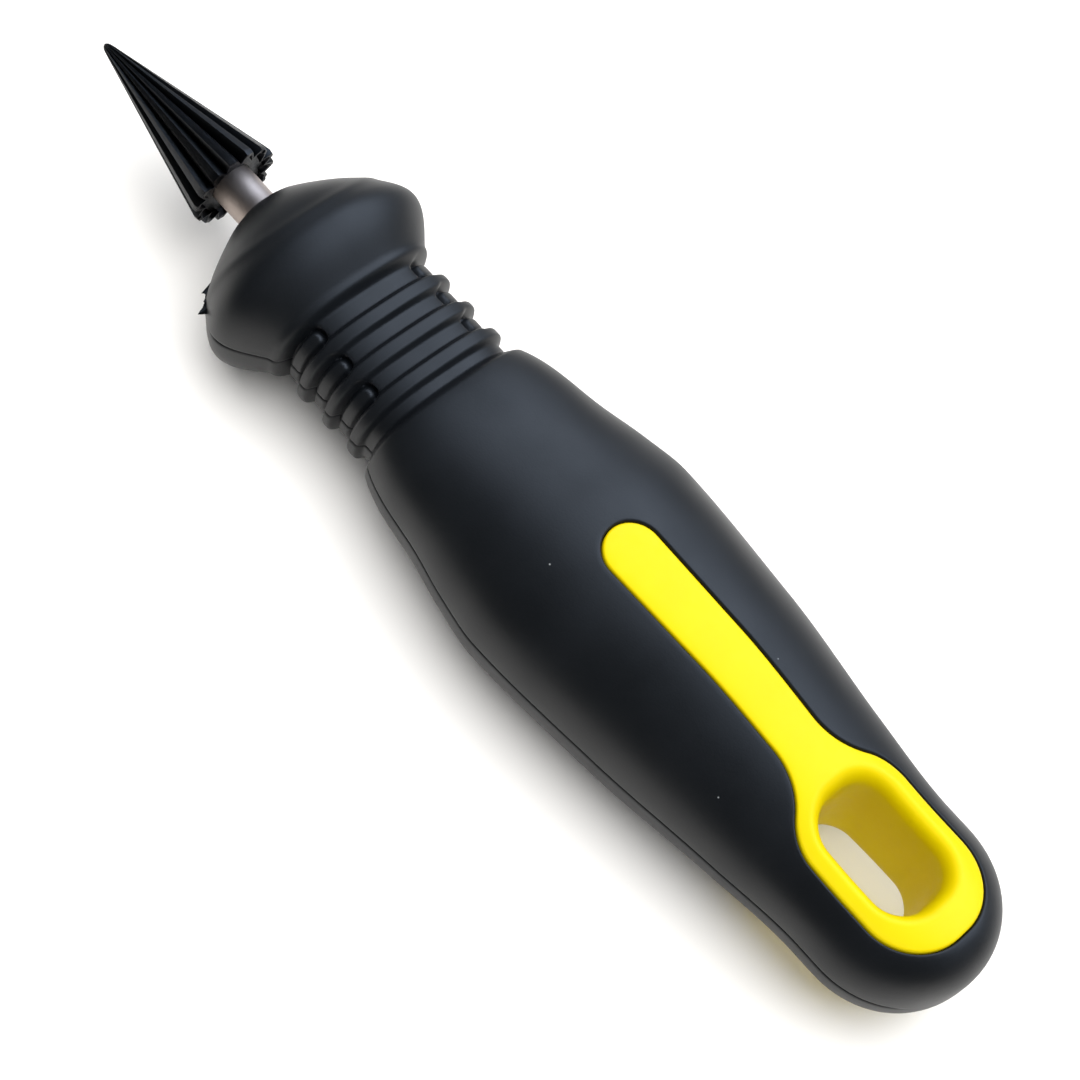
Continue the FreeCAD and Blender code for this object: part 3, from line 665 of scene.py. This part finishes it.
# %% Fill between outlines
def fill_plan(loops, loose, keep):
    """Triangles over the plan points of the loops and the loose points, where keep(centres) is true."""
    points = np.concatenate(list(loops) + [loose])
    edges, first = [], 0
    for loop in loops:
        count = len(loop)
        edges += [(first + k, first + (k + 1) % count) for k in range(count)]
        first += count
    found, _, faces, origins, _, _ = delaunay_2d_cdt([Vector(p) for p in points], edges, [], 0, 1e-6)
    number = [origin[0] for origin in origins]
    faces = np.array([[number[k] for k in face] for face in faces])
    centres = points[faces].mean(axis=1)
    return faces[keep(centres)]


class Half:
    """The upper half of a piece, whose lower half is its mirror image."""

    def __init__(self):
        self.points = []
        self.faces = []

    def add(self, points):
        first = len(self.points)
        self.points.extend(np.asarray(points, float).reshape(-1, 3).tolist())
        return np.arange(first, len(self.points))

    def plan(self, numbers):
        """Where the numbered points lie, seen from above."""
        return np.array([self.points[k][:2] for k in numbers])

    def whole(self):
        """Points and faces of both halves."""
        points = np.array(self.points)
        count = len(points)
        lower = [tuple(count + k for k in reversed(face)) for face in self.faces]
        return np.concatenate([points, points * (1, 1, -1)]), self.faces + lower


def edge_loops(half, loop, spread, drop, steps, inwards=False):
    """Loops that round an edge over: from the surface, across by spread, and down by drop."""
    rows = []
    for k in range(steps + 1):
        turn = k / steps * math.pi / 2
        across = spread * (1 - math.sin(turn)) if inwards else spread * (math.sin(turn) - 1)
        plan = grown(loop, across)
        z = top_height(plan[:, 0], plan[:, 1]) - drop * (1 - math.cos(turn))
        rows.append(half.add(np.column_stack([plan, z])))
    return rows


def wall_loops(half, row, steps):
    """Loops from a row of points straight down to the tool's middle plane."""
    top = np.array([half.points[k] for k in row])
    return [row] + [half.add(top * (1, 1, 1 - (k + 1) / steps)) for k in range(steps)]


# %% [markdown]
# ## The yellow inlay
# It goes right through the handle, from the upper face to the lower one. Its outer edge is only just
# broken, where it meets the rubber. The mouth of the slot has a large soft rounding, so a hook slides in.

# %% Make the yellow inlay
EDGE_BREAK = 0.28
MOUTH_SPREAD, MOUTH_DROP = 1.55, 2.3
EDGE_STEPS, MOUTH_STEPS, WALL_STEPS = 4, 12, 5
PLAN_STEP, RIM_ROOM = 0.55, 0.35          # spacing of the loose points, and their distance from a rim


def make_inlay():
    half = Half()
    outer = edge_loops(half, inlay_loop, EDGE_BREAK, EDGE_BREAK, EDGE_STEPS)
    mouth = edge_loops(half, slot_loop, MOUTH_SPREAD, MOUTH_DROP, MOUTH_STEPS, inwards=True)
    for rows in (outer, mouth):
        half.faces += bands(rows) + bands(wall_loops(half, rows[-1], WALL_STEPS))
    outer_plan, mouth_plan = half.plan(outer[0]), half.plan(mouth[0])
    xs = np.arange(STRIP_START_X, HANDLE_LENGTH, PLAN_STEP)
    ys = np.arange(-SLOT_WIDTH, SLOT_WIDTH, PLAN_STEP)
    grid = np.array([(x, y) for x in xs for y in ys])
    loose = grid[inside(grid, grown(outer_plan, -RIM_ROOM)) & ~inside(grid, grown(mouth_plan, RIM_ROOM))]
    lifted = half.add(np.column_stack([loose, top_height(loose[:, 0], loose[:, 1])]))
    numbers = np.concatenate([outer[0], mouth[0], lifted])
    faces = fill_plan([outer_plan, mouth_plan], loose,
                      lambda centres: inside(centres, outer_plan) & ~inside(centres, mouth_plan))
    half.faces += [tuple(numbers[face]) for face in faces]
    return solid_from("yellow_core", *half.whole(), yellow)


inlay = make_inlay()
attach(inlay, "root")
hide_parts("handle_core")

# %% [markdown]
# ## The soft grip
# The rubber skin has the details that the hand meets: ribs round the neck, finger-shaped pockets between
# them at each side, a crease round the front of the guard, and the line where the two halves of the mould
# met. A low collar closes the neck behind the guard. Each is a small rise or dip added to the form, so they
# can be changed one at a time.

# %% Rises and dips of the rubber
RIB_PLACES = (17.7, 21.45, 25.2)
RIB_LENGTH, RIB_HEIGHT, RIB_FLAT = 2.5, 0.8, 0.42   # RIB_FLAT is the share of the length that is level
POCKET_PLACES = (15.75, 19.57, 23.32)
POCKET_REACH, POCKET_RADIUS = 5.9, 1.05        # half length round the side, and half width
POCKET_GROOVE, POCKET_DEPTH = 0.28, 0.75       # half width and depth of the groove round it
LUG_RISE, LUG_SLOPE = 0.05, 0.5                # the middle of a pocket stands up, with a sloped edge
SEAM_FADES_IN, SEAM_FADES_OUT = (7.5, 9.0), (99.0, 101.0)
SEAM_HALF, SEAM_DEPTH = 0.13, 0.16
CREASE_X, CREASE_SETBACK, CREASE_HALF, CREASE_RISE = 4.4, 1.6, 0.55, 0.10
COLLAR_X, COLLAR_HALF, COLLAR_RISE = 14.15, 0.5, 0.4


def soft_step(low, high, value):
    t = np.clip((value - low) / (high - low), 0, 1)
    return t * t * (3 - 2 * t)


def side_distance(x, turn):
    """Distance round the surface from the nearer side line, on the section at x."""
    half_width, half_height, _ = section_at(x)
    share = np.abs(np.sin(turn))
    return np.minimum(np.abs(turn), np.abs(math.pi - turn)) * (half_height * (1 - share) + half_width * share)


def rubber_rise(x, turn):
    rise = np.zeros(np.broadcast(x, turn).shape)
    for rib in RIB_PLACES:
        rise = rise + RIB_HEIGHT * (1 - soft_step(RIB_FLAT, 1.0, np.abs(x - rib) / (RIB_LENGTH / 2)))
    away = side_distance(x, turn)
    for pocket in POCKET_PLACES:
        beyond = np.maximum(0, away - POCKET_REACH)
        edge = np.sqrt((x - pocket) ** 2 + beyond ** 2) - POCKET_RADIUS
        rise = rise - POCKET_DEPTH * np.exp(-(edge / POCKET_GROOVE) ** 2)
        rise = rise + LUG_RISE * (1 - soft_step(-LUG_SLOPE, 0.0, edge))
    seam = soft_step(*SEAM_FADES_IN, x) * (1 - soft_step(*SEAM_FADES_OUT, x))
    rise = rise - SEAM_DEPTH * seam * np.exp(-(away / SEAM_HALF) ** 2)
    rise = rise + COLLAR_RISE * np.exp(-((x - COLLAR_X) / COLLAR_HALF) ** 2)
    crease = CREASE_X + CREASE_SETBACK * np.sin(turn) ** 2
    return rise + CREASE_RISE * np.exp(-((x - crease) / CREASE_HALF) ** 2)


# %% [markdown]
# The rubber's surface is a grid of rows along the handle and columns round it. Rows are close together on
# the ribs and columns are close together at the mould line. Only the part round the inlay is filled with
# triangles, up to a rounded edge, and from there a wall runs down beside the yellow.

# %% Rows and columns of the rubber
def spaced(start, end, step):
    return np.linspace(start, end, max(2, round((end - start) / step)), endpoint=False)


tail_start = HANDLE_LENGTH - TAIL_ROUND
# start, end and spacing of the rows, before the rounded tail
ROW_SPANS = ((0, 6, 0.25), (6, 13, 0.35), (13, 29.6, 0.13), (29.6, 47, 0.8), (47, tail_start, 0.7))
tail_rows = tail_start + TAIL_ROUND * np.sin(np.linspace(0, math.pi / 2, 24))
ROWS_X = np.concatenate([spaced(*span) for span in ROW_SPANS] + [tail_rows])
side_columns = np.radians([0.3, 0.6, 0.95])
COLUMNS = np.sort(np.concatenate([np.linspace(0, math.pi, 121), side_columns, math.pi - side_columns]))
BORE_RADIUS = SHANK_RADIUS + HANDLE_FIT
BORE_MOUTH = ((0.45, 0.0), (0.12, 0.1), (0.0, 0.4))   # depth from the nose, and how much wider the bore is
GAP = 0.1                  # the fine dark line between the rubber and the yellow
RUBBER_EDGE = 0.32
WINDOW_DEGREES = 34        # the part of the upper face that is filled with triangles
WINDOW_X = (47.8, 100.6)
SUPPORT_ROOM, RIM_CLEAR = 0.4, 0.3        # a loop kept outside the edge, and the clear room round it


def make_grip():
    half = Half()
    # the bore for the shank, its mouth, and then the form
    bore = [(SHANK_IN_HANDLE, 0.0), (SHANK_IN_HANDLE, BORE_RADIUS)]
    bore += [(x, BORE_RADIUS + wider) for x, wider in BORE_MOUTH]
    rows = [half.add([(x, r * math.cos(t), r * math.sin(t)) for t in COLUMNS]) for x, r in bore]
    for row_x in ROWS_X:
        x = np.full(len(COLUMNS), row_x)
        rows.append(half.add(skin_point(x, COLUMNS, rubber_rise(x, COLUMNS))))

    low, high = math.radians(WINDOW_DEGREES), math.pi - math.radians(WINDOW_DEGREES)
    columns = np.nonzero((COLUMNS >= low) & (COLUMNS <= high))[0]
    first_row = len(bore) + int(np.searchsorted(ROWS_X, WINDOW_X[0]))
    last_row = len(bore) + int(np.searchsorted(ROWS_X, WINDOW_X[1])) - 1
    for r in range(len(rows) - 1):
        for c in range(len(COLUMNS) - 1):
            if first_row <= r < last_row and columns[0] <= c < columns[-1]:
                continue
            half.faces.append((rows[r][c], rows[r][c + 1], rows[r + 1][c + 1], rows[r + 1][c]))

    # the window: its rim is made of grid points, and its hole of the inlay's own outline
    along_one_side = [rows[r][columns[-1]] for r in range(first_row + 1, last_row)]
    back_along_other = [rows[r][columns[0]] for r in range(last_row - 1, first_row, -1)]
    rim = np.concatenate([rows[first_row][columns], along_one_side,
                          rows[last_row][columns][::-1], back_along_other]).astype(int)
    edge = edge_loops(half, grown(inlay_loop, GAP), RUBBER_EDGE, RUBBER_EDGE, EDGE_STEPS, inwards=True)
    half.faces += bands(edge) + bands(wall_loops(half, edge[-1], WALL_STEPS))
    rim_plan, edge_plan = half.plan(rim), half.plan(edge[0])
    support_plan = grown(edge_plan, SUPPORT_ROOM)
    support = half.add(np.column_stack([support_plan, top_height(support_plan[:, 0], support_plan[:, 1])]))
    half.faces += bands([support, edge[0]])
    inner = np.concatenate([rows[r][columns[1:-1]] for r in range(first_row + 1, last_row)])
    inner = inner[~inside(half.plan(inner), grown(support_plan, RIM_CLEAR))]
    numbers = np.concatenate([rim, support, inner])
    faces = fill_plan([rim_plan, support_plan], half.plan(inner),
                      lambda centres: inside(centres, rim_plan) & ~inside(centres, support_plan))
    half.faces += [tuple(numbers[face]) for face in faces]
    return solid_from("rubber_grip", *half.whole(), rubber)


grip = make_grip()
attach(grip, "root")
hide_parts("soft_grip")

# %% [markdown]
# ## A scrap of moulding flash
# Rubber creeps into the join of the mould and leaves a thin torn fin, here on one side of the guard. It is a
# small sliver drawn in plan on the mould line and given a thickness, thin enough to look torn.

# %% Make the flash
FLASH_START, FLASH_STEP = 3.3, 0.22
FLASH_HEIGHTS = (0.0, 0.35, 0.95, 0.5, 0.3, 0.25, 0.4, 0.3, 0.45, 0.85, 1.15, 0.4, 0.0)
FLASH_THICKNESS, FLASH_ROOT = 0.26, 0.35  # thickness, and how deep the fin is rooted in the rubber
FLASH_TAPER, FLASH_THINNING = 0.1, 0.55   # length of the torn edge, and its share of the thickness
FLASH_LEAN, FLASH_WAVE = 0.12, 2.1        # how far the edge waves, and its turn from one section to the next


def make_flash():
    """Sections across the fin: wide at the root inside the rubber, and narrow at the torn edge."""
    points, rows = [], []
    for k, height in enumerate(FLASH_HEIGHTS):
        x = FLASH_START + k * FLASH_STEP
        root = float(section_at(x)[0]) - FLASH_ROOT
        edge = root + FLASH_ROOT + height
        lean = FLASH_LEAN * math.sin(FLASH_WAVE * k)
        thick = FLASH_THICKNESS / 2
        thin = thick * FLASH_THINNING
        ring = [(root, -thick), (edge - FLASH_TAPER, lean - thin), (edge, lean),
                (edge - FLASH_TAPER, lean + thin), (root, thick)]
        rows.append(list(range(len(points), len(points) + len(ring))))
        points += [(x, -y, z) for y, z in ring]
    faces = bands(rows) + [tuple(rows[0]), tuple(reversed(rows[-1]))]
    return solid_from("moulding_flash", points, faces, rubber, sharp_degrees=30)


flash = make_flash()
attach(flash, "root")

# %% [markdown]
# ## Floor, light and camera
# The tool lies on a plain pale table. A wide panel behind it lights reflections only, so the top of the rubber
# turns slate grey and the near side falls into the dark. A soft box overhead lights the table and the
# colours, and a faint pale sky fills what is left.

# %% Floor
FLOOR_SIDE = 3.0
FLOOR_CLOUD_MM = 100.0
floor_material, floor_tree, floor_shader, floor_mm = new_material(
    "painted_board_white", roughness=0.65, ior=1.45)
floor_cloud = add(floor_tree, "ShaderNodeTexNoise", {
    "Vector": floor_mm, "Scale": 1 / FLOOR_CLOUD_MM, "Detail": 2.0})
floor_tone = add(floor_tree, "ShaderNodeMix", {
    0: floor_cloud.outputs["Fac"], 6: linear("#F6F6F5"), 7: linear("#FAFAFA")}, data_type="RGBA")
floor_tree.links.new(floor_tone.outputs[2], floor_shader.inputs["Base Color"])
floor_mesh = bpy.data.meshes.new("floor")
corners = [(-1, -1), (1, -1), (1, 1), (-1, 1)]
floor_mesh.from_pydata([(x * FLOOR_SIDE / 2, y * FLOOR_SIDE / 2, cad_box[0][2]) for x, y in corners], [],
                       [(0, 1, 2, 3)])
floor_mesh.materials.append(floor_material)
floor = bpy.data.objects.new("floor", floor_mesh)
bpy.context.scene.collection.objects.link(floor)

# %% Lights
def area_light(name, place, size, power, colour):
    """A rectangular light that faces the frame's origin, which the tool lies over."""
    light = bpy.data.lights.new(name, "AREA")
    light.shape = "RECTANGLE"
    light.size, light.size_y = size
    light.energy = power
    light.color = linear(colour)[:3]
    lamp = bpy.data.objects.new(name, light)
    lamp.location = place
    lamp.rotation_euler = (-Vector(place)).to_track_quat("-Z", "Y").to_euler()
    bpy.context.scene.collection.objects.link(lamp)
    return lamp


# a wide panel behind the tool gives the rubber its broad sheen, and no second shadow on the table
panel = area_light("panel_behind", (0.02, 0.42, 0.52), (1.2, 0.45), 7.4, "#DAE9FF")
panel.visible_diffuse = False
# a soft box overhead lights the table and the colours, and stays out of the reflections
overhead = area_light("box_overhead", (0.04, 0.10, 0.60), (1.15, 1.15), 14.0, "#FFFDFA")
overhead.visible_glossy = False

# the plain view keeps the yellow as strong as its paint chip
bpy.context.scene.view_settings.view_transform = "Standard"
world = bpy.data.worlds.new("pale_studio")
bpy.context.scene.world = world
world.use_nodes = True
sky = world.node_tree.nodes["Background"].inputs
sky["Color"].default_value = linear("#F3F5F8")
sky["Strength"].default_value = 0.06

# %% [markdown]
# The camera looks down at the tool from the cutter's left, a quarter of a metre away, with the tool lying
# across the picture from corner to corner. Its roll is what turns the tool in the frame.

# %% Camera
CAMERA_RISE = math.radians(59.9)         # above the table
CAMERA_SIDE = math.radians(-22.0)        # round the tool from straight in front
CAMERA_ROLL = math.radians(47.5)
CAMERA_DISTANCE = 241.8 * MM
CAMERA_AIM = Vector((5.3 * MM, 0.0, AXIS_Z))
CAMERA_DROP = 1.44 * MM                  # how far the aim lies below the tool's axis in the picture
LENS_MM, SENSOR_MM = 82.2, 36.0

forward = Vector((
    math.sin(CAMERA_SIDE) * math.cos(CAMERA_RISE),
    math.cos(CAMERA_SIDE) * math.cos(CAMERA_RISE),
    -math.sin(CAMERA_RISE)))
level = (Vector((1, 0, 0)) - forward * forward.x).normalized()
upright = level.cross(forward)
right = math.cos(CAMERA_ROLL) * level + math.sin(CAMERA_ROLL) * upright
up = -math.sin(CAMERA_ROLL) * level + math.cos(CAMERA_ROLL) * upright

camera_data = bpy.data.cameras.new("camera")
camera_data.lens = LENS_MM
camera_data.sensor_width = SENSOR_MM
camera_data.clip_start = 0.01
camera = bpy.data.objects.new("camera", camera_data)
camera.rotation_euler = Matrix((right, up, -forward)).transposed().to_euler()
camera.location = CAMERA_AIM - CAMERA_DROP * upright - CAMERA_DISTANCE * forward
bpy.context.scene.collection.objects.link(camera)
bpy.context.scene.camera = camera
print("camera at", [round(c, 4) for c in camera.location])

# %% Sizes, and the end
print("CAD box   ", [[round(c / MM, 2) for c in corner] for corner in cad_box])
